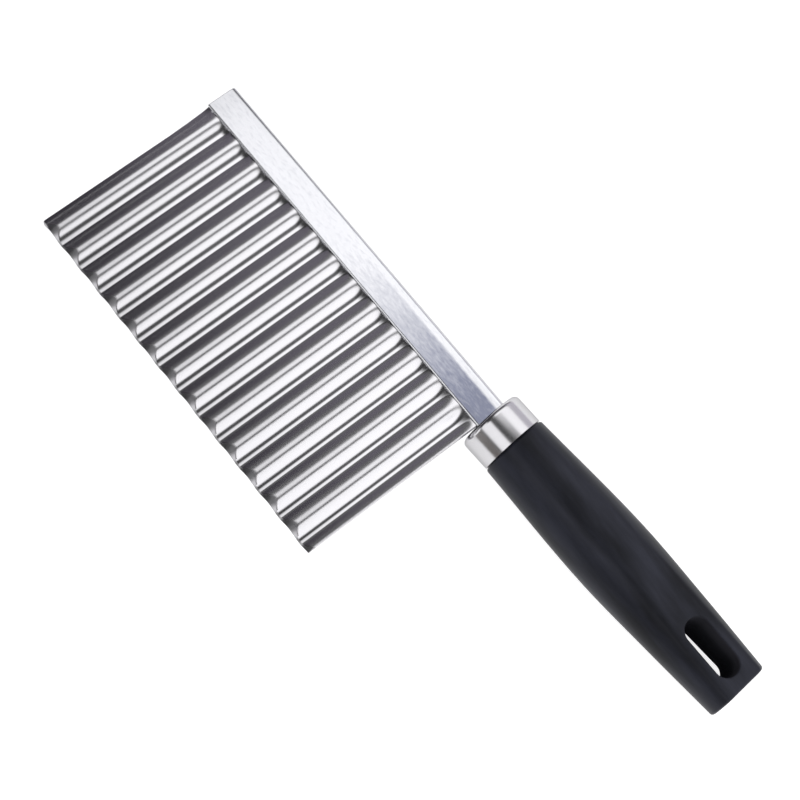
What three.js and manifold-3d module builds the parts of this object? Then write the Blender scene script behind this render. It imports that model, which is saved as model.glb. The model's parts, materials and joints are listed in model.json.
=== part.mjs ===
// Crinkle cutter: a corrugated steel blade whose back edge is held in a folded strip. The strip runs on as
// the tang, through a drawn ferrule, into a moulded plastic handle.
// Millimetres. In the blade's frame X runs along the back from the tip to the handle, Y from the cutting
// edge to the back, and Z square to the sheet. The finished model lies at rest on the plane Z = 0.
import * as THREE from "three";
import { mergeVertices } from "three/addons/utils/BufferGeometryUtils.js";
import Module from "manifold-3d";

// Blade sheet. Its edge is ground flat from one face, so the bevel is broad on the crests and narrow in the
// troughs. The first slope runs straight out to the tip, which flares as the waves run out at the strip.
const bladeLength = 132.15;
const wavePitch = 9.855;
const waveHeight = 1.8;
const firstCrest = 4.65;
const tipStraight = 0.65;
const tipFlare = 0.5;
const sheetThickness = 0.7;
const bladeWidth = 74;
const crestBevel = 2.8;
const troughBevel = 0.5;
const edgeThickness = 0.15;
const runOutLength = 4;

// Folded back strip, which is also the tang
const stripWidth = 10.8;
const stripThickness = 3.6;
const stripWall = 0.8;
const tipOverhang = 0.55;
const tangLength = 40;
const pinchClearance = 0.05;
const foldClearance = 0.3;

// Ferrule, a cup with its closed end towards the blade
const heelGap = 0.1;
const ferruleDiameter = 21.4;
const ferruleLength = 10.6;
const ferruleWall = 0.6;
const ferruleFrontRadius = 1.8;

// Handle: its axis leans towards the back (rake) and under the blade (pitch), and its flats are rolled. The
// round stations along the axis are measured from the shoulder behind the ferrule.
const axisBelowBack = 6.4;
const rakeDegrees = 4.06;
const pitchDegrees = 6.5;
const rollDegrees = -5.4;
const handleLength = 97.1;
const shoulderDiameter = 21.8;
const bellyDiameter = 25;
const bellyStation = 44;
const taperDiameter = 23.2;
const taperStation = 70;
const buttDiameter = 20.5;
const shoulderRadius = 0.8;
const buttRadius = 0.9;
const flatThickness = 23.5;
const flatKneeStation = 46;
const buttThickness = 15.4;

// Hanging slot
const slotLength = 20.6;
const slotWidth = 8.2;
const slotFromButt = 15.15;

// Fits
const fitClearance = 0.2;
const shoulderClearance = 0.3;

// Facets
const stepsPerWave = 12;
const runOutSteps = 4;
const stripSteps = 4;
const roundSegments = 48;
const bodySteps = 20;
const cornerSteps = 4;
const cutMargin = 5;

// Sizes that follow
const lipHeight = bladeWidth - stripWidth;
const foldRadius = stripThickness / 2;
const sheetTop = bladeWidth - foldRadius - foldClearance;
const foldGap = stripThickness - 2 * stripWall;
const runOutStart = lipHeight - runOutLength;
const deepestTrough = Math.max(1, -waveAt(0).level);
const pinchedDepth = (foldGap - sheetThickness) / 2 - pinchClearance;
const pinchedSwing = Math.min(waveHeight / 2, pinchedDepth / deepestTrough);
const bladeUnderside = (deepestTrough * waveHeight + sheetThickness) / 2;
const ferruleFront = bladeLength + heelGap;
const ferruleRadius = ferruleDiameter / 2;
const shoulderStart = ferruleLength + shoulderClearance;
const neckStart = ferruleWall + fitClearance;
const neckRadius = ferruleRadius - neckStart;
const frontCorner = new THREE.Vector2(ferruleRadius - ferruleFrontRadius, ferruleFrontRadius);
const slotCentre = shoulderStart + handleLength - slotFromButt;
const tangEnd = ferruleFront + tangLength;

const steel = { color: 0xc9ccd2, metalness: 1, roughness: 0.2 };
const satinSteel = { color: 0xb9bcc4, metalness: 1, roughness: 0.35 };
const plastic = { color: 0x1f2024, metalness: 0, roughness: 0.5 };

const wasm = await Module();
wasm.setup();

// A three.js geometry as a solid that can be cut and joined.
function solidOf(geometry) {
  const bare = geometry.index ? geometry.toNonIndexed() : geometry.clone();
  bare.deleteAttribute("normal");
  bare.deleteAttribute("uv");
  const merged = mergeVertices(bare, 1e-4);
  const corners = merged.index.array;
  const kept = [];
  for (let i = 0; i < corners.length; i += 3) {
    const [a, b, c] = corners.slice(i, i + 3);
    if (a !== b && b !== c && c !== a) kept.push(a, b, c);
  }
  const vertProperties = merged.attributes.position.array;
  return new wasm.Manifold(new wasm.Mesh({ numProp: 3, vertProperties, triVerts: new Uint32Array(kept) }));
}

function meshOf(solid, name, finish) {
  const { vertProperties, triVerts } = solid.getMesh();
  const geometry = new THREE.BufferGeometry();
  geometry.setAttribute("position", new THREE.BufferAttribute(vertProperties, 3));
  geometry.setIndex(new THREE.BufferAttribute(triVerts, 1));
  geometry.computeVertexNormals();
  const mesh = new THREE.Mesh(geometry, new THREE.MeshStandardMaterial(finish));
  mesh.name = name;
  return mesh;
}

// A box between two corners.
function boxBetween(low, high) {
  const size = high.clone().sub(low);
  const centre = low.clone().add(high).multiplyScalar(0.5);
  return new THREE.BoxGeometry(size.x, size.y, size.z).translate(centre.x, centre.y, centre.z);
}

// A flat outline drawn along Z.
function extruded(outline, depth, curveSegments = 1, steps = 1) {
  return new THREE.ExtrudeGeometry(outline, { depth, curveSegments, steps, bevelEnabled: false });
}

// A round body on the X axis from points of (radius, distance along X).
function turned(points) {
  return new THREE.LatheGeometry(points, roundSegments).rotateZ(-Math.PI / 2);
}

// A quarter round about a centre, from one angle to another.
function quarter(centre, radius, from, to) {
  const arc = new THREE.EllipseCurve(centre.x, centre.y, radius, radius, from, to, to < from);
  return arc.getPoints(cornerSteps);
}

// The wave's level and slope for a swing of 1 to each side.
function waveAt(along) {
  const curved = Math.max(along, tipStraight);
  const turn = (2 * Math.PI) / wavePitch;
  const phase = turn * (curved - firstCrest);
  const slope = -turn * Math.sin(phase);
  return { level: Math.cos(phase) + slope * (along - curved), slope };
}

// The sheet is a flat slab, laid over the wave with each face set off square to the wave. The wave runs out
// to its pinched swing at the strip's lip.
function corrugatedBlade() {
  const upperRows = [];
  for (let i = 0; i <= runOutSteps; i++) {
    upperRows.push(runOutStart + (runOutLength * i) / runOutSteps);
  }
  upperRows.push(sheetTop);
  const rows = upperRows.length + 1;
  const slab = new THREE.BoxGeometry(1, 1, 1, Math.round((bladeLength / wavePitch) * stepsPerWave), rows, 1);
  const place = slab.attributes.position;
  for (let i = 0; i < place.count; i++) {
    const along = (place.getX(i) + 0.5) * bladeLength;
    const { level, slope } = waveAt(along);
    const bevel = THREE.MathUtils.mapLinear(Math.max(level, -1), -1, 1, troughBevel, crestBevel);
    const row = Math.round((place.getY(i) + 0.5) * rows);
    const height = [0, bevel, ...upperRows][row];
    const runOut = THREE.MathUtils.smoothstep(height, runOutStart, lipHeight);
    const swing = THREE.MathUtils.lerp(waveHeight / 2, pinchedSwing, runOut);
    const ground = row === 0 ? sheetThickness - edgeThickness : 0;
    const offset = place.getZ(i) > 0 ? sheetThickness / 2 - ground : -sheetThickness / 2;
    const reach = offset / Math.hypot(slope * swing, 1);
    const flare = tipFlare * runOut * Math.max(0, 1 - along / firstCrest);
    place.setXYZ(i, along - flare - slope * swing * reach, height, level * swing + reach);
  }
  return solidOf(slab);
}

// The strip's section, drawn with Y of the blade as x and Z as y, is a U that is open towards the edge.
function backStrip() {
  const foldCentre = bladeWidth - foldRadius;
  const innerRadius = foldRadius - stripWall;
  const section = new THREE.Shape();
  section.moveTo(lipHeight, -foldRadius);
  section.lineTo(foldCentre, -foldRadius);
  section.absarc(foldCentre, 0, foldRadius, -Math.PI / 2, Math.PI / 2, false);
  section.lineTo(lipHeight, foldRadius);
  section.lineTo(lipHeight, innerRadius);
  section.lineTo(foldCentre, innerRadius);
  section.absarc(foldCentre, 0, innerRadius, Math.PI / 2, -Math.PI / 2, true);
  section.lineTo(lipHeight, -innerRadius);
  section.closePath();
  const strip = extruded(section, tipOverhang + tangEnd, 2 * cornerSteps, stripSteps);
  const x = new THREE.Vector3(0, 1, 0);
  const y = new THREE.Vector3(0, 0, 1);
  const z = new THREE.Vector3(1, 0, 0);
  strip.applyMatrix4(new THREE.Matrix4().makeBasis(x, y, z));
  return solidOf(strip.translate(-tipOverhang, 0, 0));
}

// The space that the strip takes in the ferrule and the handle, with its clearance.
function tangSocket() {
  const halfThickness = foldRadius + fitClearance;
  const low = new THREE.Vector3(ferruleFront - cutMargin, lipHeight - fitClearance, -halfThickness);
  const high = new THREE.Vector3(tangEnd + fitClearance, bladeWidth + fitClearance, halfThickness);
  return solidOf(boxBetween(low, high));
}

// The handle's own frame has its axis on X and its origin in the middle of the ferrule's front.
function toBladeFrame(geometry) {
  geometry.rotateX(THREE.MathUtils.degToRad(rollDegrees));
  geometry.rotateY(THREE.MathUtils.degToRad(pitchDegrees));
  geometry.rotateZ(THREE.MathUtils.degToRad(rakeDegrees));
  return geometry.translate(ferruleFront, bladeWidth - axisBelowBack, 0);
}

function ferrule() {
  const innerRadius = ferruleRadius - ferruleWall;
  const innerCorner = ferruleFrontRadius - ferruleWall;
  const profile = [
    new THREE.Vector2(0, 0),
    ...quarter(frontCorner, ferruleFrontRadius, -Math.PI / 2, 0),
    new THREE.Vector2(ferruleRadius, ferruleLength),
    new THREE.Vector2(innerRadius, ferruleLength),
    ...quarter(frontCorner, innerCorner, 0, -Math.PI / 2),
    new THREE.Vector2(0, ferruleWall),
  ];
  return solidOf(toBladeFrame(turned(profile))).subtract(tangSocket());
}

// Radii along the handle, from just behind its shoulder to its butt.
function bodyCurve() {
  const stations = [
    [shoulderDiameter, shoulderRadius],
    [bellyDiameter, bellyStation],
    [taperDiameter, taperStation],
    [buttDiameter, handleLength - buttRadius],
  ];
  const points = stations.map(([diameter, at]) => new THREE.Vector2(diameter / 2, shoulderStart + at));
  return new THREE.SplineCurve(points).getPoints(bodySteps);
}

// Seen from the side, two flats run along the handle and close in towards the butt.
function flatSides() {
  const knee = shoulderStart + flatKneeStation;
  const end = shoulderStart + handleLength;
  const slope = (flatThickness - buttThickness) / 2 / (end - knee);
  const past = buttThickness / 2 - slope * cutMargin;
  const side = new THREE.Shape();
  side.moveTo(-cutMargin, -flatThickness / 2);
  side.lineTo(knee, -flatThickness / 2);
  side.lineTo(end + cutMargin, -past);
  side.lineTo(end + cutMargin, past);
  side.lineTo(knee, flatThickness / 2);
  side.lineTo(-cutMargin, flatThickness / 2);
  const depth = bellyDiameter + 2 * cutMargin;
  return extruded(side, depth).translate(0, 0, -depth / 2).rotateX(Math.PI / 2);
}

function hangingSlot() {
  const radius = slotWidth / 2;
  const half = slotLength / 2 - radius;
  const outline = new THREE.Shape();
  outline.absarc(half, 0, radius, -Math.PI / 2, Math.PI / 2, false);
  outline.absarc(-half, 0, radius, Math.PI / 2, (3 * Math.PI) / 2, false);
  const depth = flatThickness + 2 * cutMargin;
  return extruded(outline, depth, 3 * cornerSteps).translate(slotCentre, 0, -depth / 2);
}

function handle() {
  const buttEnd = shoulderStart + handleLength;
  const shoulderCorner = new THREE.Vector2(
    shoulderDiameter / 2 - shoulderRadius,
    shoulderStart + shoulderRadius,
  );
  const buttCorner = new THREE.Vector2(buttDiameter / 2, buttEnd).subScalar(buttRadius);
  const profile = [
    new THREE.Vector2(0, neckStart),
    ...quarter(frontCorner, ferruleFrontRadius - neckStart, -Math.PI / 2, 0),
    new THREE.Vector2(neckRadius, shoulderStart),
    ...quarter(shoulderCorner, shoulderRadius, -Math.PI / 2, 0),
    ...bodyCurve().slice(1, -1),
    ...quarter(buttCorner, buttRadius, 0, Math.PI / 2),
    new THREE.Vector2(0, buttEnd),
  ];
  return solidOf(toBladeFrame(turned(profile)))
    .intersect(solidOf(toBladeFrame(flatSides())))
    .subtract(solidOf(toBladeFrame(hangingSlot())))
    .subtract(tangSocket());
}

// At rest the underside at the tip and the underside of the grip both touch the table.
function restingTilt(grip, underside) {
  const points = grip.geometry.attributes.position;
  let steepest = 0;
  for (let i = 0; i < points.count; i++) {
    steepest = Math.max(steepest, (-points.getZ(i) - underside) / (points.getX(i) + tipOverhang));
  }
  return Math.atan(steepest);
}

const grip = meshOf(handle(), "handle", plastic);
const cutter = new THREE.Group();
cutter.add(
  meshOf(corrugatedBlade(), "corrugated_blade", steel),
  meshOf(backStrip(), "back_strip", satinSteel),
  meshOf(ferrule(), "ferrule", steel),
  grip,
);
cutter.rotation.y = -restingTilt(grip, Math.max(bladeUnderside, foldRadius));

// The origin is the middle of the resting model's box, on the table.
const part = new THREE.Group();
part.add(cutter);
const bounds = new THREE.Box3().setFromObject(part, true);
const middle = bounds.getCenter(new THREE.Vector3());
cutter.position.set(-middle.x, -middle.y, -bounds.min.z);

export default part;
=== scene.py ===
"""Looks of the crinkle cutter: polished and satin steel, black plastic, and the light of a product studio."""
import json
import math

import bmesh
import bpy
import numpy as np
from mathutils import Matrix, Vector


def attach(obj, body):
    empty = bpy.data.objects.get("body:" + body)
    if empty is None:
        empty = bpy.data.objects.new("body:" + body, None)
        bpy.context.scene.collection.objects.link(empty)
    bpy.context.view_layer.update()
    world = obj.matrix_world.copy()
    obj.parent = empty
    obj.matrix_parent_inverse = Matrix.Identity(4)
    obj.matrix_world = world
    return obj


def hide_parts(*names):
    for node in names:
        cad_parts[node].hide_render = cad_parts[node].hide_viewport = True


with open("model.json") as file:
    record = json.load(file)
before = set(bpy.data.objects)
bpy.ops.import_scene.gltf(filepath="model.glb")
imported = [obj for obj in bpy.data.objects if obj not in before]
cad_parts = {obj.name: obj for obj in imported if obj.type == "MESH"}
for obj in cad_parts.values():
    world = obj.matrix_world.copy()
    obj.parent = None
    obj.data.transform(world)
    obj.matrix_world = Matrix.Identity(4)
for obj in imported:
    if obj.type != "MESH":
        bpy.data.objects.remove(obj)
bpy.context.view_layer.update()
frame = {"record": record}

MM = 0.001

# Points closer than this are one
WELD = 0.001 * MM

# Blade sheet. Its waves are lower than the CAD's and its edge is thicker, for the sake of what they mirror
BLADE_LENGTH = 132.15 * MM
BLADE_WIDTH = 74 * MM
SHEET = 0.7 * MM
WAVE_PITCH = 9.855 * MM
WAVE_HEIGHT = 1.7 * MM
WAVE_LEAN = 0.035
FIRST_CREST = 4.65 * MM
TIP_STRAIGHT = 0.65 * MM
TIP_FLARE = 0.5 * MM
TIP_FLARE_LENGTH = 9 * MM
TIP_CORNER = 1.0 * MM
CREST_BEVEL = 2.8 * MM
TROUGH_BEVEL = 0.5 * MM
BEVEL_BLEND = 0.5 * MM
EDGE = 0.35 * MM
HEEL_ROUNDING = 0.4 * MM

# Waves run out at the strip: crests drop and troughs rise, more at the heel, over multiples of the rise
CREST_DROP = 0.12 * MM
TROUGH_RISE = 0.55 * MM
HEEL_CREST_DROP = 0.45 * MM
HEEL_TROUGH_RISE = 0.75 * MM
HEEL_START = 108 * MM
RUN_OUT_RATIOS = (5.2, 9)
RUN_OUT_PAST = 0.4 * MM

# Folded back strip, with a thinner wall than the CAD's. At the heel its lips are pinched together
STRIP_WIDTH = 10.8 * MM
STRIP_THICKNESS = 3.6 * MM
STRIP_WALL = 0.6 * MM
TIP_ROUNDING = 0.25 * MM
TIP_OVERHANG = 0.55 * MM
TANG_LENGTH = 40 * MM
FOLD_CLEARANCE = 0.3 * MM
PINCH_START = 106 * MM
LIP_DROP = 0.45 * MM

# Ferrule
HEEL_GAP = 0.1 * MM
FERRULE_RADIUS = 10.7 * MM
FERRULE_LENGTH = 10.6 * MM
FERRULE_WALL = 0.6 * MM
FERRULE_CORNER = 1.8 * MM
FIT_CLEARANCE = 0.2 * MM
SLIT_CLEARANCE = 0.05 * MM

# Handle
AXIS_BELOW_BACK = 6.4 * MM
RAKE = math.radians(4.06)
PITCH = math.radians(6.5)
ROLL = math.radians(-5.4)
SHOULDER_CLEARANCE = 0.3 * MM
HANDLE_LENGTH = 97.1 * MM
SHOULDER_RADIUS = 10.9 * MM
BELLY_RADIUS = 12.5 * MM
BELLY_STATION = 44 * MM
TAPER_RADIUS = 11.6 * MM
TAPER_STATION = 70 * MM
BUTT_RADIUS = 10.25 * MM
SHOULDER_CORNER = 0.8 * MM
BUTT_CORNER = 0.9 * MM
FLAT_HALF = 11.75 * MM
FLAT_KNEE = 46 * MM
BUTT_HALF = 7.7 * MM
BUTT_LEAN = 0.06
CREASE = 1.0 * MM
SLOT_LENGTH = 20.6 * MM
SLOT_WIDTH = 8.2 * MM
SLOT_FROM_BUTT = 15.15 * MM
SLOT_FILLET = 0.5 * MM
SLOT_DRAFT = 0.35 * MM

# How finely the meshes are divided
STEPS_PER_WAVE = 40
BEVEL_ROWS = 4
FACE_ROWS = 12
RUN_OUT_ROWS = 12
PINCH_RINGS = 47
FERRULE_SIDES = 128
HANDLE_SIDES = 160
BARREL_RINGS = 72

# Edges sharper than these angles, in degrees, stay sharp in the shading
SHARP = 30
BLADE_SHARP = 25
SLOT_SHARP = 40

# Sizes that follow
LIP = BLADE_WIDTH - STRIP_WIDTH
FOLD_RADIUS = STRIP_THICKNESS / 2
FOLD_INNER = FOLD_RADIUS - STRIP_WALL
FOLD_CENTRE = BLADE_WIDTH - FOLD_RADIUS
SHEET_TOP = FOLD_CENTRE - FOLD_CLEARANCE
FERRULE_FRONT = BLADE_LENGTH + HEEL_GAP
SHOULDER = FERRULE_LENGTH + SHOULDER_CLEARANCE
SLOT_CENTRE = HANDLE_LENGTH - SLOT_FROM_BUTT
SLOT_RADIUS = SLOT_WIDTH / 2
SLOT_HALF = SLOT_LENGTH / 2 - SLOT_RADIUS

# The blade's frame: X from tip to handle, Y from edge to back, Z square to the sheet. A mount places it
MOUNT_STATION = 60 * MM
strip_mount = Vector((MOUNT_STATION, (LIP + FOLD_CENTRE) / 2, FOLD_RADIUS))
strip_face = next(mount for mount in frame["record"]["mounts"] if mount["name"] == "strip_face")
tilt = Matrix.Rotation(math.atan2(strip_face["axis"][0], strip_face["axis"][2]), 4, "Y")
blade_frame = Matrix.Translation(Vector(strip_face["pos_m"]) - tilt @ strip_mount) @ tilt
handle_frame = (
    blade_frame
    @ Matrix.Translation((FERRULE_FRONT, BLADE_WIDTH - AXIS_BELOW_BACK, 0))
    @ Matrix.Rotation(RAKE, 4, "Z")
    @ Matrix.Rotation(PITCH, 4, "Y")
    @ Matrix.Rotation(ROLL, 4, "X")
)

# Noise: how it is stretched along the axes, how fine it is, and how deep its bumps are
EVEN = (1, 1, 1)
ALONG = (0.05, 1, 1)
ACROSS = (1, 0.05, 1)
CLOUD_STRETCH = (0.3, 1, 1)
RUB_STRETCH = (0.2, 1, 1)
LINE_SCALE = 600
DENT_SCALE = 110
GRIT_SCALE = 1800
CLOUD_SCALE = 1400
PLASTIC_GRAIN_SCALE = 2600
RUB_SCALE = 140
LINE_DEPTH = 0.004 * MM
GRIT_DEPTH = 0.003 * MM
PLASTIC_GRAIN_DEPTH = 0.01 * MM

# Steel's edge tint, and the painted shade on the strip towards the heel, a darker colour that stands in for
# its dimmer reflections there: its fades along, at the fold and at the lip, and its clouds
STEEL_EDGE_TINT = 0.6
HEEL_SHADE_SPAN = (56 * MM, 134 * MM)
FOLD_SHADE_SPAN = (71.4 * MM, 70.2 * MM)
LIP_SHADE_SPAN = (63.5 * MM, 63.75 * MM)
CLOUDING = 0.4

# Where in the noise the plastic goes from fresh to rubbed
RUB_SPAN = (0.35, 0.7)

# Camera in the blade's frame, solved from the photograph's parallel waves
CAMERA_PLACE = Vector((248.65, -92.8, 561.9)) * MM
CAMERA_LOOK = Vector((-0.23001, 0.24025, -0.94307))
CAMERA_UP = Vector((-0.74719, 0.57729, 0.32931))
LENS = 90.17
SENSOR_WIDTH = 36

# Studio: a pale floor in a dim tent. Softboxes in its top leave a dark middle, where the camera looks in
TENT_TOP = 0.9
TENT_REACH = 1.7
EDGE_WALL_SPLIT = -0.15
WHITE = 1.55
BACK_WALL = 0.8
DIM = 0.18
DIM_FRONT = 0.055
NEUTRAL = (1.0, 1.0, 1.0)
WARM = (1.0, 0.9, 0.85)
COOL = (0.95, 0.92, 1.0)
LIGHT_TINT = (1.0, 0.995, 1.01)
DIM_TINT = (1.0, 0.93, 1.1)

# Where across the blade the dim parts of the top, the tip wall and the flag rise from their front level
TOP_RISE = (0.05, 0.3)
TIP_RISE = (0.2, 0.5)
FLAG_RISE = (-0.015, 0.065)

# A low dark flag beyond the tip keeps the pale floor out of the steep flanks
FLAG = ((-0.17, -0.5), (-0.17, 0.5))
FLAG_HEIGHT = 0.1

# Each softbox's soft edges, in the tent's top: where it fades in and out along the blade, then across it
SOFTBOXES = (
    ((-0.88, -0.54), (0.18, -0.09), (-0.08, 0.2), (1.5, 1.4)),
    ((-0.3, -0.2), (1.4, 1.3), (0.42, 0.48), (1.7, 1.6)),
    ((0.37, 0.51), (1.65, 1.6), (-0.08, 0.05), (1.5, 1.4)),
    ((-0.14, -0.06), (1.4, 1.3), (-1.3, -1.2), (-0.22, -0.3)),
    ((-0.75, -0.65), (0.1, 0), (-1.3, -1.2), (-0.45, -0.55)),
)

# Floor
FLOOR_REACH = 4
FLOOR_GLOW = 0.82
FLOOR_GREY = 0.5
FLOOR_ROUGHNESS = 0.8


# Mesh helpers

def finish_mesh(mesh, sharp_degrees):
    """Welds doubled points, turns faces outwards and shades them smooth, with edges over an angle sharp."""
    shape = bmesh.new()
    shape.from_mesh(mesh)
    bmesh.ops.remove_doubles(shape, verts=shape.verts, dist=WELD)
    bmesh.ops.recalc_face_normals(shape, faces=shape.faces)
    shape.to_mesh(mesh)
    shape.free()
    mesh.shade_smooth()
    mesh.set_sharp_from_angle(angle=math.radians(sharp_degrees))


def lofted(name, rings, place, wrapped=False, sharp_degrees=SHARP):
    """A closed mesh through rings of points, with capped ends or wrapped so that the last meets the first."""
    count, around = rings.shape[:2]
    points = [place @ Vector(point) for point in rings.reshape(-1, 3)]
    faces = []
    for i in range(count if wrapped else count - 1):
        this, following = i * around, (i + 1) % count * around
        for j in range(around):
            k = (j + 1) % around
            faces.append((this + j, this + k, following + k, following + j))
    if not wrapped:
        faces.append(tuple(range(around)))
        faces.append(tuple((count - 1) * around + j for j in range(around)))
    mesh = bpy.data.meshes.new(name)
    mesh.from_pydata(points, [], faces)
    finish_mesh(mesh, sharp_degrees)
    piece = bpy.data.objects.new(name, mesh)
    bpy.context.collection.objects.link(piece)
    return piece


def arc(centre, radius, start, end, steps):
    """Points on an arc, from one angle in degrees to another."""
    angles = np.radians(np.linspace(start, end, steps + 1))
    return [(centre[0] + radius * math.cos(a), centre[1] + radius * math.sin(a)) for a in angles]


def cut(piece, cutter, sharp_degrees=SHARP):
    """Takes the cutter out of the piece and deletes the cutter."""
    modifier = piece.modifiers.new("cut", "BOOLEAN")
    modifier.operation = "DIFFERENCE"
    modifier.solver = "EXACT"
    modifier.object = cutter
    shaped = piece.evaluated_get(bpy.context.evaluated_depsgraph_get())
    uncut = piece.data
    piece.data = bpy.data.meshes.new_from_object(shaped)
    piece.modifiers.clear()
    bpy.data.meshes.remove(uncut)
    bpy.data.objects.remove(cutter)
    finish_mesh(piece.data, sharp_degrees)


def smoothstep(value, low, high):
    """Rises smoothly from 0 to 1 between two values."""
    share = np.clip((value - low) / (high - low), 0, 1)
    return share * share * (3 - 2 * share)


# Pieces

def wave_at(along):
    """The wave's level and slope for a swing of 1: a sine that leans a little, straight out to the tip."""
    curved = max(along, TIP_STRAIGHT)
    turn = 2 * math.pi / WAVE_PITCH
    phase = turn * (curved - FIRST_CREST)
    level = math.cos(phase) + WAVE_LEAN * math.sin(3 * phase)
    slope = turn * (3 * WAVE_LEAN * math.cos(3 * phase) - math.sin(phase))
    return level + slope * (along - curved), slope


def lip_drop(along):
    """How far the strip's lips are pinched together from each side."""
    return LIP_DROP * smoothstep(along, PINCH_START, BLADE_LENGTH)


def corrugated_blade():
    """The sheet's section from edge to back and round again, carried along the wave, with a ground bevel."""
    rounding_start = BLADE_LENGTH - HEEL_ROUNDING
    stations = np.concatenate([
        np.linspace(0, rounding_start, round(BLADE_LENGTH / WAVE_PITCH * STEPS_PER_WAVE)),
        rounding_start + HEEL_ROUNDING * np.sin(np.radians(np.arange(15, 91, 15))),
    ])
    run_out_end = LIP + RUN_OUT_PAST
    rings = []
    for along in stations:
        level, slope = wave_at(along)
        bevel = TROUGH_BEVEL + (CREST_BEVEL - TROUGH_BEVEL) * ((max(level, -1) + 1) / 2) ** 2
        heel = smoothstep(along, HEEL_START, BLADE_LENGTH)
        drop = CREST_DROP + (HEEL_CREST_DROP - CREST_DROP) * heel
        rise = TROUGH_RISE + (HEEL_TROUGH_RISE - TROUGH_RISE) * heel
        run_out_start = run_out_end - rise * np.interp(along, (0, BLADE_LENGTH), RUN_OUT_RATIOS)
        heights = np.concatenate([
            np.linspace(0, bevel, BEVEL_ROWS + 1),
            np.linspace(bevel + BEVEL_BLEND, run_out_start, FACE_ROWS),
            np.linspace(run_out_start, run_out_end, RUN_OUT_ROWS + 1)[1:],
            [SHEET_TOP],
        ])
        ground = np.clip(1 - heights / bevel, 0, 1) * (SHEET - EDGE)
        past = np.clip((along - rounding_start) / HEEL_ROUNDING, 0, 1)
        rolled = np.maximum(ground, HEEL_ROUNDING * (1 - math.sqrt(1 - past ** 2)))
        height = np.concatenate([heights, heights[::-1]])
        offset = np.concatenate([SHEET / 2 - rolled, np.full(len(heights), -SHEET / 2)])
        run_out = np.clip((height - run_out_start) / (run_out_end - run_out_start), 0, 1) ** 2
        swing = WAVE_HEIGHT / 2 - (rise + drop) / 2 * run_out
        middle = (rise - drop) / 2 * run_out
        reach = offset / np.hypot(slope * swing, 1)
        corner = TIP_CORNER * (1 - np.sqrt(1 - np.clip(1 - height / TIP_CORNER, 0, 1) ** 2))
        flare = TIP_FLARE * smoothstep(height, LIP - TIP_FLARE_LENGTH, LIP)
        shift = max(0, 1 - along / FIRST_CREST) * (corner - flare)
        points = [along + shift - slope * swing * reach, height, middle + level * swing + reach]
        rings.append(np.stack(points, axis=1))
    blade = lofted("polished_blade", np.array(rings), blade_frame, sharp_degrees=BLADE_SHARP)
    around = len(rings[0])
    # The bevel's rows have the second material, and the two end caps don't
    for i, face in enumerate(blade.data.polygons):
        face.material_index = int(i % around < BEVEL_ROWS and i < (len(rings) - 1) * around)
    return blade


def back_strip():
    """A folded strip: a U section with rounded lips, pinched at the heel, and a rounded tip end."""
    curl = LIP + STRIP_WALL
    flat = (curl + STRIP_WALL / 2, FOLD_CENTRE - STRIP_WALL / 2)
    section = np.array(
        arc((curl, FOLD_INNER), STRIP_WALL, 180, 90, steps=8)
        + [(y, FOLD_RADIUS) for y in flat]
        + arc((FOLD_CENTRE, 0), FOLD_RADIUS, 90, -90, steps=24)
        + [(y, -FOLD_RADIUS) for y in reversed(flat)]
        + arc((curl, -FOLD_INNER), STRIP_WALL, 270, 180, steps=8)
        + arc((FOLD_CENTRE, 0), FOLD_INNER, -90, 90, steps=16)
    )
    towards_lip = np.clip((FOLD_CENTRE - section[:, 0]) / (FOLD_CENTRE - LIP), 0, 1)
    rounding = np.radians(np.linspace(75, 0, 6))
    stations = [
        *(TIP_ROUNDING * (1 - np.sin(rounding)) - TIP_OVERHANG),
        *np.linspace(PINCH_START, BLADE_LENGTH, PINCH_RINGS),
        FERRULE_FRONT + TANG_LENGTH,
    ]
    insets = np.zeros(len(stations))
    insets[:len(rounding)] = TIP_ROUNDING * (1 - np.cos(rounding))
    rings = []
    for along, inset in zip(stations, insets):
        level = section[:, 1] * (1 - (towards_lip * lip_drop(along) + inset) / FOLD_RADIUS)
        rings.append(np.stack([np.full(len(section), along), section[:, 0], level], axis=1))
    return lofted("satin_back_strip", np.array(rings), blade_frame)


def ferrule():
    """A drawn cup with a rounded front corner, cut through for the strip."""
    corner = (FERRULE_CORNER, FERRULE_RADIUS - FERRULE_CORNER)
    inner = FERRULE_RADIUS - FERRULE_WALL
    centre_hole = FERRULE_WALL / 2
    profile = (
        [(0, centre_hole)]
        + arc(corner, FERRULE_CORNER, 180, 90, steps=10)
        + [(FERRULE_LENGTH, FERRULE_RADIUS), (FERRULE_LENGTH, inner)]
        + arc(corner, FERRULE_CORNER - FERRULE_WALL, 90, 180, steps=10)
        + [(FERRULE_WALL, centre_hole)]
    )
    rings = []
    for angle in np.linspace(0, 2 * math.pi, FERRULE_SIDES, endpoint=False):
        rings.append([(x, r * math.sin(angle), r * math.cos(angle)) for x, r in profile])
    cup = lofted("polished_ferrule", np.array(rings), handle_frame, wrapped=True)
    half = FOLD_RADIUS + SLIT_CLEARANCE
    low, high = LIP - SLIT_CLEARANCE, BLADE_WIDTH + SLIT_CLEARANCE
    upper = [(high, half), (FOLD_CENTRE, half), (low, half - LIP_DROP)]
    section = [(y, -z) for y, z in reversed(upper)] + upper
    ends = (BLADE_LENGTH, FERRULE_FRONT + FERRULE_LENGTH / 2)
    slit = lofted("slit", np.array([[(x, *point) for point in section] for x in ends]), blade_frame)
    cut(cup, slit)
    return cup


def flat_half(station):
    """Half the handle's thickness between its flats, at a distance from the shoulder."""
    share = np.clip((station - FLAT_KNEE) / (HANDLE_LENGTH - FLAT_KNEE), 0, None)
    return FLAT_HALF + (BUTT_HALF - FLAT_HALF) * share


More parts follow.
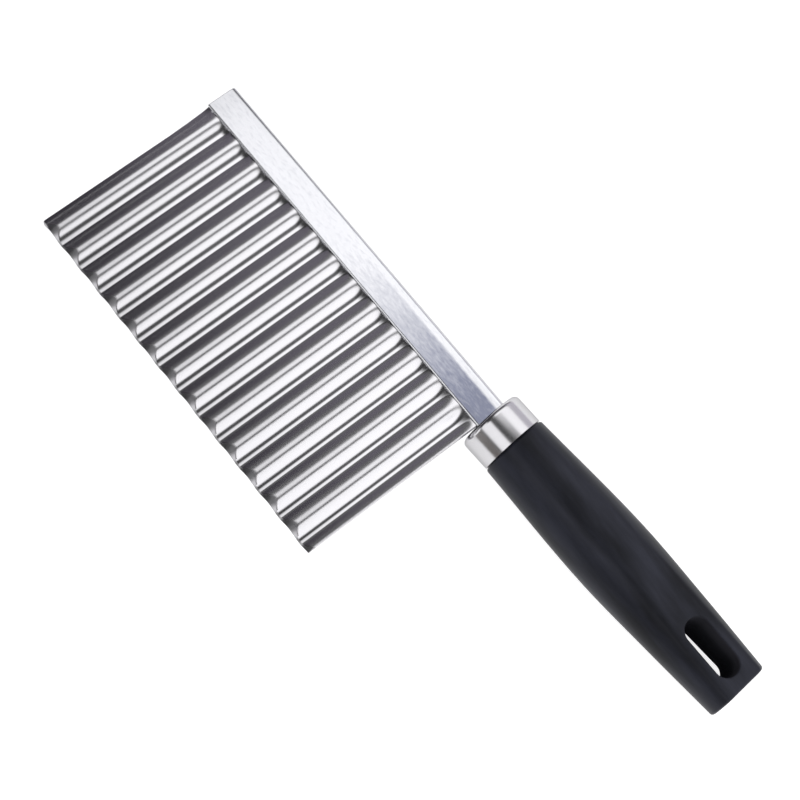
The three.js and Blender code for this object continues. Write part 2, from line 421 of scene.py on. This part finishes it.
def barrel_radius(station):
    """The handle's round radius: a cubic through its four stations, with no slope at the belly."""
    stations = np.array([0, BELLY_STATION, TAPER_STATION, HANDLE_LENGTH])
    radii = np.array([SHOULDER_RADIUS, BELLY_RADIUS, TAPER_RADIUS, BUTT_RADIUS])
    slopes = np.gradient(radii, stations)
    slopes[1] = 0
    i = int(np.clip(np.searchsorted(stations, station) - 1, 0, len(stations) - 2))
    span = stations[i + 1] - stations[i]
    t = (station - stations[i]) / span
    start = (1 + 2 * t) * (1 - t) ** 2 * radii[i] + t * (1 - t) ** 2 * span * slopes[i]
    end = t * t * (3 - 2 * t) * radii[i + 1] + t * t * (t - 1) * span * slopes[i + 1]
    return start + end


def handle():
    """Rings along the axis: a round barrel with two flats that meet it in soft creases."""
    turn = np.linspace(0, 2 * math.pi, HANDLE_SIDES, endpoint=False)
    across, up = np.sin(turn), np.cos(turn)
    # Keeps the flats from reaching out without end at the sides
    least_up = 0.2

    def ring(station, inset):
        round_part = np.full(len(turn), barrel_radius(station))
        flat_part = flat_half(station) / np.maximum(np.abs(up), least_up)
        blend = np.maximum(CREASE - np.abs(round_part - flat_part), 0)
        reach = np.minimum(round_part, flat_part) - blend ** 2 / (4 * CREASE) - inset
        lean = BUTT_LEAN * smoothstep(station, SLOT_CENTRE, HANDLE_LENGTH)
        return np.stack([SHOULDER + station - lean * reach * up, reach * across, reach * up], axis=1)

    neck = FERRULE_RADIUS - FERRULE_WALL - FIT_CLEARANCE
    rings = []
    for x in (FERRULE_CORNER, SHOULDER):
        rings.append(np.stack([np.full(len(turn), x), neck * across, neck * up], axis=1))
    for angle in np.radians(np.linspace(75, 0, 5)):
        rings.append(ring(SHOULDER_CORNER * (1 - math.sin(angle)), SHOULDER_CORNER * (1 - math.cos(angle))))
    for station in np.linspace(SHOULDER_CORNER, HANDLE_LENGTH - BUTT_CORNER, BARREL_RINGS)[1:]:
        rings.append(ring(station, 0))
    for angle in np.radians(np.linspace(0, 90, 7)[1:]):
        station = HANDLE_LENGTH - BUTT_CORNER * (1 - math.sin(angle))
        rings.append(ring(station, BUTT_CORNER * (1 - math.cos(angle))))
    grip = lofted("satin_handle", np.array(rings), handle_frame)
    cut(grip, slot_cutter(), sharp_degrees=SLOT_SHARP)
    to_handle = handle_frame.inverted()
    # The slot's walls, with the inner part of its rims, have the second material
    for face in grip.data.polygons:
        x, y, _ = to_handle @ face.center
        beyond = max(abs(x - SHOULDER - SLOT_CENTRE) - SLOT_HALF, 0)
        face.material_index = int(math.hypot(beyond, y) < SLOT_RADIUS + SLOT_FILLET / 8)
    return grip


def slot_cutter():
    """The hanging slot, flared at both faces so that it leaves a round rim, and narrower underneath."""

    def loop(widen, depth, side):
        radius = SLOT_RADIUS + widen
        front = arc((SLOT_HALF, 0), radius, -90, 90, steps=24)
        rear = arc((-SLOT_HALF, 0), radius, 90, 270, steps=24)
        stations = [(SLOT_CENTRE + x, y) for x, y in front + rear]
        return [(SHOULDER + x, y, side * (flat_half(x) - depth)) for x, y in stations]

    # The flare starts clear of the face and then rounds into the slot
    flare = [(3 * SLOT_FILLET, -2 * SLOT_FILLET)]
    for angle in np.radians(np.linspace(0, 90, 7)):
        flare.append((SLOT_FILLET * (1 - math.sin(angle)), SLOT_FILLET * (1 - math.cos(angle))))
    loops = [loop(widen, depth, 1) for widen, depth in flare]
    loops += [loop(widen - SLOT_DRAFT, depth, -1) for widen, depth in reversed(flare)]
    return lofted("slot", np.array(loops), handle_frame)


# Material helpers

def new_material(name):
    """A material with its nodes, its links and its shader."""
    material = bpy.data.materials.new(name)
    material.use_nodes = True
    nodes = material.node_tree.nodes
    return material, nodes, material.node_tree.links, nodes["Principled BSDF"]


def noise(nodes, links, coordinates, stretch, scale, detail):
    """Noise over the object's own coordinates, stretched along its axes."""
    mapping = nodes.new("ShaderNodeMapping")
    mapping.inputs["Scale"].default_value = stretch
    texture = nodes.new("ShaderNodeTexNoise")
    texture.inputs["Scale"].default_value = scale
    texture.inputs["Detail"].default_value = detail
    links.new(coordinates, mapping.inputs["Vector"])
    links.new(mapping.outputs["Vector"], texture.inputs["Vector"])
    return texture.outputs["Fac"]


def spread(nodes, links, value, low, high):
    """Maps a 0 to 1 value to a range."""
    node = nodes.new("ShaderNodeMapRange")
    node.inputs["To Min"].default_value = low
    node.inputs["To Max"].default_value = high
    links.new(value, node.inputs["Value"])
    return node.outputs["Result"]


def fade(nodes, links, value, start, end):
    """Rises smoothly from 0 at the start to 1 at the end, which may lie on either side of it."""
    node = nodes.new("ShaderNodeMapRange")
    node.interpolation_type = "SMOOTHSTEP"
    node.inputs["From Min"].default_value = start
    node.inputs["From Max"].default_value = end
    links.new(value, node.inputs["Value"])
    return node.outputs["Result"]


def colour_ramp(nodes, links, value, span, colours):
    """Goes from one colour to another while a value goes through a span."""
    ramp = nodes.new("ShaderNodeValToRGB")
    for element, position, colour in zip(ramp.color_ramp.elements, span, colours):
        element.position = position
        element.color = (*colour, 1)
    links.new(value, ramp.inputs["Fac"])
    return ramp.outputs["Color"]


def bump(nodes, links, value, distance, below=None):
    """A surface direction bent by a height, on top of another one if there is one below."""
    node = nodes.new("ShaderNodeBump")
    node.inputs["Distance"].default_value = distance
    links.new(value, node.inputs["Height"])
    if below:
        links.new(below, node.inputs["Normal"])
    return node.outputs["Normal"]


def math_node(nodes, links, operation, *values):
    """One operation on numbers and on what other nodes give."""
    node = nodes.new("ShaderNodeMath")
    node.operation = operation
    for socket, value in zip(node.inputs, values):
        if isinstance(value, (int, float)):
            socket.default_value = value
        else:
            links.new(value, socket)
    return node.outputs["Value"]


def joined(nodes, links, operation, values):
    """Joins any number of values by one operation."""
    result, *others = values
    for value in others:
        result = math_node(nodes, links, operation, result, value)
    return result


def blade_axes(nodes, links, place):
    """A point's X, Y and Z in the blade's frame."""
    mapping = nodes.new("ShaderNodeMapping")
    to_blade = blade_frame.inverted()
    mapping.inputs["Location"].default_value = to_blade.to_translation()
    mapping.inputs["Rotation"].default_value = to_blade.to_euler()
    links.new(place, mapping.inputs["Vector"])
    axes = nodes.new("ShaderNodeSeparateXYZ")
    links.new(mapping.outputs["Vector"], axes.inputs["Vector"])
    return axes.outputs


# Materials

def steel(name, colour, roughness, grain, dent_depth, crest_wear=0, heel_painted_shade=None):
    """Stainless steel: fine lines along one way, slight dents that bend its reflections, and worn crests.

    Towards the heel it may take on another colour, painted shade that stands in for dimmer reflections there,
    with a cloudy edge."""
    material, nodes, links, shader = new_material(name)
    shader.inputs["Metallic"].default_value = 1
    shader.inputs["Base Color"].default_value = (*colour, 1)
    shader.inputs["Specular Tint"].default_value = (STEEL_EDGE_TINT, STEEL_EDGE_TINT, STEEL_EDGE_TINT, 1)
    place = nodes.new("ShaderNodeTexCoord").outputs["Object"]
    lines = noise(nodes, links, place, grain, LINE_SCALE, detail=3)
    dents = noise(nodes, links, place, EVEN, DENT_SCALE, detail=2)
    grit = noise(nodes, links, place, EVEN, GRIT_SCALE, detail=2)
    finish = spread(nodes, links, lines, *roughness)
    if crest_wear:
        level = blade_axes(nodes, links, place)["Z"]
        worn = fade(nodes, links, level, -SHEET / 2, WAVE_HEIGHT / 2 + SHEET / 2)
        finish = math_node(nodes, links, "MULTIPLY_ADD", worn, crest_wear, finish)
    # Painted shade: towards the heel the base colour darkens for the dimmer reflections there, kept off the
    # fold's highlight and the lip
    if heel_painted_shade:
        axes = blade_axes(nodes, links, place)
        along = fade(nodes, links, axes["X"], *HEEL_SHADE_SPAN)
        across = [fade(nodes, links, axes["Y"], *span) for span in (FOLD_SHADE_SPAN, LIP_SHADE_SPAN)]
        heel = joined(nodes, links, "MULTIPLY", [along, *across, 1 - CLOUDING])
        cloud = noise(nodes, links, place, CLOUD_STRETCH, CLOUD_SCALE, detail=8)
        share = math_node(nodes, links, "MULTIPLY_ADD", cloud, CLOUDING, heel)
        span = (CLOUDING / 2, 1 - CLOUDING / 2)
        painted_shade_colour = colour_ramp(nodes, links, share, span, (colour, heel_painted_shade))
        links.new(painted_shade_colour, shader.inputs["Base Color"])
    links.new(finish, shader.inputs["Roughness"])
    fine = bump(nodes, links, grit, GRIT_DEPTH, bump(nodes, links, lines, LINE_DEPTH))
    links.new(bump(nodes, links, dents, dent_depth, fine), shader.inputs["Normal"])
    return material


def black_plastic(name, colour, rubbed_colour, gloss, roughness):
    """Satin moulded plastic with a fine grain, rubbed smoother and paler in streaks along the grip."""
    material, nodes, links, shader = new_material(name)
    shader.inputs["Specular IOR Level"].default_value = gloss
    place = nodes.new("ShaderNodeTexCoord").outputs["Object"]
    grain = noise(nodes, links, place, EVEN, PLASTIC_GRAIN_SCALE, detail=3)
    rub = noise(nodes, links, place, RUB_STRETCH, RUB_SCALE, detail=4)
    shade = colour_ramp(nodes, links, rub, RUB_SPAN, (colour, rubbed_colour))
    links.new(shade, shader.inputs["Base Color"])
    links.new(spread(nodes, links, rub, *roughness), shader.inputs["Roughness"])
    links.new(bump(nodes, links, grain, PLASTIC_GRAIN_DEPTH), shader.inputs["Normal"])
    return material


def dress(piece, node, slot, *materials):
    """Gives a piece its materials, ties it to its body and hides its CAD node. The slot argument is not used.
    """
    for material in materials:
        piece.data.materials.append(material)
    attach(piece, "root")
    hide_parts(node)


blade_steel = steel(
    "blade_steel", colour=(0.655, 0.65, 0.665), roughness=(0.1, 0.16), grain=ACROSS,
    dent_depth=0.02 * MM, crest_wear=0.12,
)
ground_steel = steel(
    "ground_steel", colour=(0.45, 0.445, 0.46), roughness=(0.24, 0.34), grain=ALONG,
    dent_depth=0.01 * MM,
)
# The strip's heel colour is painted shade, a darker steel that stands in for dimmer reflections near the
# ferrule
strip_steel = steel(
    "strip_steel", colour=(0.64, 0.645, 0.665), roughness=(0.13, 0.24), grain=ALONG,
    dent_depth=0.03 * MM, heel_painted_shade=(0.19, 0.203, 0.265),
)
ferrule_steel = steel(
    "ferrule_steel", colour=(0.58, 0.575, 0.59), roughness=(0.13, 0.26), grain=ALONG,
    dent_depth=0.02 * MM,
)
handle_plastic = black_plastic(
    "handle_plastic", colour=(0.007, 0.0077, 0.0112), rubbed_colour=(0.028, 0.03, 0.043),
    gloss=0.14, roughness=(0.5, 0.34),
)
slot_plastic = black_plastic(
    "slot_plastic", colour=(0.03, 0.03, 0.036), rubbed_colour=(0.045, 0.045, 0.054),
    gloss=0, roughness=(0.6, 0.5),
)
dress(corrugated_blade(), "corrugated_blade", "blade_steel", blade_steel, ground_steel)
dress(back_strip(), "back_strip", "strip_steel", strip_steel)
dress(ferrule(), "ferrule", "ferrule_steel", ferrule_steel)
dress(handle(), "handle", "handle_plastic", handle_plastic, slot_plastic)


# Camera

camera = bpy.data.objects.new("camera", bpy.data.cameras.new("camera"))
camera.data.lens = LENS
camera.data.sensor_width = SENSOR_WIDTH
bpy.context.collection.objects.link(camera)
camera_axes = Matrix((CAMERA_LOOK.cross(CAMERA_UP), CAMERA_UP, -CAMERA_LOOK)).transposed()
camera.matrix_world = blade_frame @ Matrix.Translation(CAMERA_PLACE) @ camera_axes.to_4x4()
bpy.context.scene.camera = camera


# Tent

def new_glow(name, colour, strength):
    """A glowing material with its nodes, its links and its light."""
    material = bpy.data.materials.new(name)
    material.use_nodes = True
    nodes = material.node_tree.nodes
    nodes.clear()
    light = nodes.new("ShaderNodeEmission")
    light.inputs["Color"].default_value = (*colour, 1)
    light.inputs["Strength"].default_value = strength
    output = nodes.new("ShaderNodeOutputMaterial")
    material.node_tree.links.new(light.outputs["Emission"], output.inputs["Surface"])
    return material, nodes, material.node_tree.links, light


def tent_axes(nodes, links):
    """A point's X, Y and Z in the tent."""
    axes = nodes.new("ShaderNodeSeparateXYZ")
    links.new(nodes.new("ShaderNodeTexCoord").outputs["Object"], axes.inputs["Vector"])
    return axes.outputs


def dim_level(nodes, links, across, span):
    """The dim parts' level, which rises from the cutting edge's side to the back."""
    rise = fade(nodes, links, across, *span)
    return math_node(nodes, links, "MULTIPLY_ADD", rise, DIM - DIM_FRONT, DIM_FRONT)


def dim_glow(name, span):
    """A dim glow that rises across the blade."""
    material, nodes, links, light = new_glow(name, DIM_TINT, DIM)
    across = tent_axes(nodes, links)["Y"]
    links.new(dim_level(nodes, links, across, span), light.inputs["Strength"])
    return material


def tent_top_glow():
    """Softboxes with soft edges on a dim ground. Where two overlap, the brighter one shows."""
    material, nodes, links, light = new_glow("tent_top", LIGHT_TINT, DIM)
    axes = tent_axes(nodes, links)
    shares = []
    for softbox in SOFTBOXES:
        edges = [fade(nodes, links, axes[axis], *span) for axis, span in zip("XXYY", softbox)]
        shares.append(joined(nodes, links, "MULTIPLY", edges))
    brightest = joined(nodes, links, "MAXIMUM", shares)
    dim = dim_level(nodes, links, axes["Y"], TOP_RISE)
    level = math_node(nodes, links, "MULTIPLY_ADD", brightest, WHITE - DIM, dim)
    links.new(level, light.inputs["Strength"])
    return material


def card(name, corners, material):
    """A flat card of the tent, which only light and reflections see."""
    mesh = bpy.data.meshes.new(name)
    mesh.from_pydata(corners, [], [tuple(range(len(corners)))])
    mesh.materials.append(material)
    piece = bpy.data.objects.new(name, mesh)
    piece.matrix_world = blade_frame @ Matrix.Translation((BLADE_LENGTH / 2, BLADE_WIDTH / 2, 0))
    piece.visible_camera = False
    bpy.context.collection.objects.link(piece)


def standing(start, end, height):
    """The corners of an upright card between two points of the floor."""
    return [(*start, 0), (*end, 0), (*end, height), (*start, height)]


def tent():
    """The tent's top, its walls and the flag."""
    r, top = TENT_REACH, TENT_TOP
    card("tent_top", [(-r, -r, top), (r, -r, top), (r, r, top), (-r, r, top)], tent_top_glow())
    card("tent_tip_wall", standing((-r, -r), (-r, r), top), dim_glow("tent_tip_wall", TIP_RISE))
    card("tent_flag", standing(*FLAG, FLAG_HEIGHT), dim_glow("tent_flag", FLAG_RISE))
    walls = {
        "tent_handle_wall": ((r, -r), (r, r), NEUTRAL, WHITE),
        "tent_tip_edge_wall": ((-r, -r), (EDGE_WALL_SPLIT, -r), NEUTRAL, WHITE),
        "tent_edge_wall": ((EDGE_WALL_SPLIT, -r), (r, -r), WARM, DIM),
        "tent_back_wall": ((-r, r), (r, r), COOL, BACK_WALL),
    }
    for name, (start, end, colour, strength) in walls.items():
        glow, *_ = new_glow(name, colour, strength)
        card(name, standing(start, end, top), glow)


tent()


# Floor and world

def pale_floor():
    """A floor that cameras and mirrors see as white, and that still takes the object's shadow."""
    r = FLOOR_REACH
    mesh = bpy.data.meshes.new("floor")
    mesh.from_pydata([(-r, -r, 0), (r, -r, 0), (r, r, 0), (-r, r, 0)], [], [(0, 1, 2, 3)])
    material, nodes, links, shader = new_material("pale_floor")
    shader.inputs["Base Color"].default_value = (FLOOR_GREY, FLOOR_GREY, FLOOR_GREY, 1)
    shader.inputs["Roughness"].default_value = FLOOR_ROUGHNESS
    shader.inputs["Emission Color"].default_value = (1, 1, 1, 1)
    path = nodes.new("ShaderNodeLightPath").outputs
    rays = [path[f"Is {kind} Ray"] for kind in ("Camera", "Glossy", "Transmission")]
    seen = joined(nodes, links, "ADD", rays)
    links.new(math_node(nodes, links, "MULTIPLY", seen, FLOOR_GLOW), shader.inputs["Emission Strength"])
    mesh.materials.append(material)
    floor = bpy.data.objects.new("floor", mesh)
    bpy.context.collection.objects.link(floor)


pale_floor()

world = bpy.data.worlds.new("studio")
world.use_nodes = True
world.node_tree.nodes["Background"].inputs["Color"].default_value = (1, 1, 1, 1)
world.node_tree.nodes["Background"].inputs["Strength"].default_value = 1
bpy.context.scene.world = world
bpy.context.scene.view_settings.view_transform = "Standard"
